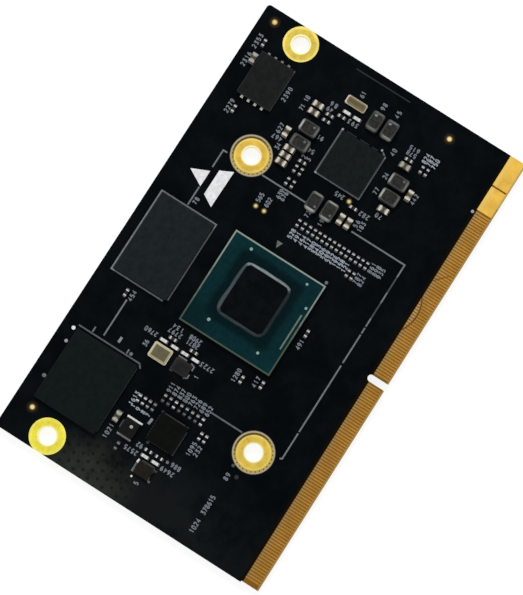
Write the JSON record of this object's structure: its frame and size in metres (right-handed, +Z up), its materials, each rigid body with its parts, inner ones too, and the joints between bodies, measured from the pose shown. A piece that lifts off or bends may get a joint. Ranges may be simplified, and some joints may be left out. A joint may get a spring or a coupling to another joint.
{
  "type": "processor module board",
  "caption": "Card-edge processor board: black laminate card with a gold contact edge and key slot, a central bare-die processor, memory, storage and power chips, and plated fixing holes.",
  "frame": {"origin": "middle of the card's outline, on the plane that its underside chips rest on", "axes": "+X along the contact edge, +Y from the contact edge to the rear edge, +Z up out of the processor side"},
  "size_m": [0.082, 0.05, 0.0035],
  "materials": {
    "card_mask": "black solder mask on glass laminate, satin",
    "contact_gold": "gold-plated edge contacts, satin",
    "pad_gold": "gold-plated copper, bright",
    "solder": "bright solder and tinned ends",
    "substrate": "teal resin package board with a bare yellow rim",
    "die": "dark silicon back, smooth",
    "underfill": "grey cured resin bead",
    "mould": "dark moulding compound, fine grain",
    "mould_light": "lighter moulding compound, fine grain",
    "crystal_base": "cream ceramic base",
    "crystal_lid": "pale gold metal lid",
    "dark_base": "dark ceramic base",
    "dark_lid": "dark coated lid",
    "coil": "pressed dark grey ferrite, matt",
    "capacitor": "brown-beige ceramic",
    "load_capacitor": "pale ceramic",
    "resistor": "black protective glaze"
  },
  "bodies": {
    "root": {"card": "card_mask", "upper_contacts": "contact_gold", "lower_contacts": "contact_gold", "upper_power_contacts": "pad_gold", "lower_power_contacts": "pad_gold", "left_fixing_sleeve": "pad_gold", "right_fixing_sleeve": "pad_gold", "rear_heatsink_sleeve": "pad_gold", "front_heatsink_sleeve": "pad_gold", "alignment_marks": "pad_gold", "test_points": "pad_gold", "processor_substrate": "substrate", "processor_die": "die", "processor_underfill": "underfill", "processor_solder_joints": "solder", "memory_chip": "mould_light", "memory_solder_joints": "solder", "storage_chip": "mould", "storage_solder_joints": "solder", "flash_chip": "mould", "flash_lands": "solder", "power_chip": "mould", "power_chip_lands": "solder", "network_chip": "mould", "network_chip_lands": "solder", "main_crystal_base": "crystal_base", "main_crystal_lid": "crystal_lid", "network_crystal_base": "dark_base", "network_crystal_lid": "dark_lid", "clock_crystal_base": "crystal_base", "clock_crystal_lid": "crystal_lid", "oscillator_body": "dark_base", "oscillator_lands": "solder", "filter_coil_body": "coil", "filter_coil_feet": "solder", "rear_coil_left": "coil", "rear_coil_right": "coil", "inner_coil_rear": "coil", "inner_coil_front": "coil", "outer_coil_rear": "coil", "outer_coil_front": "coil", "front_coil_left": "coil", "front_coil_right": "coil", "coil_feet": "solder", "supply_capacitor_bodies": "capacitor", "supply_capacitor_ends": "solder", "load_capacitor_bodies": "load_capacitor", "load_capacitor_ends": "solder", "left_resistor_bodies": "resistor", "left_resistor_ends": "solder", "right_resistor_bodies": "resistor", "right_resistor_ends": "solder", "single_part_bodies": "capacitor", "single_part_ends": "solder", "underside_left_chip": "mould", "underside_right_chip": "mould", "underside_rear_chip": "mould", "underside_chip_lands": "solder", "underside_capacitor_bodies": "capacitor", "underside_capacitor_ends": "solder"}
  },
  "joints": []
}
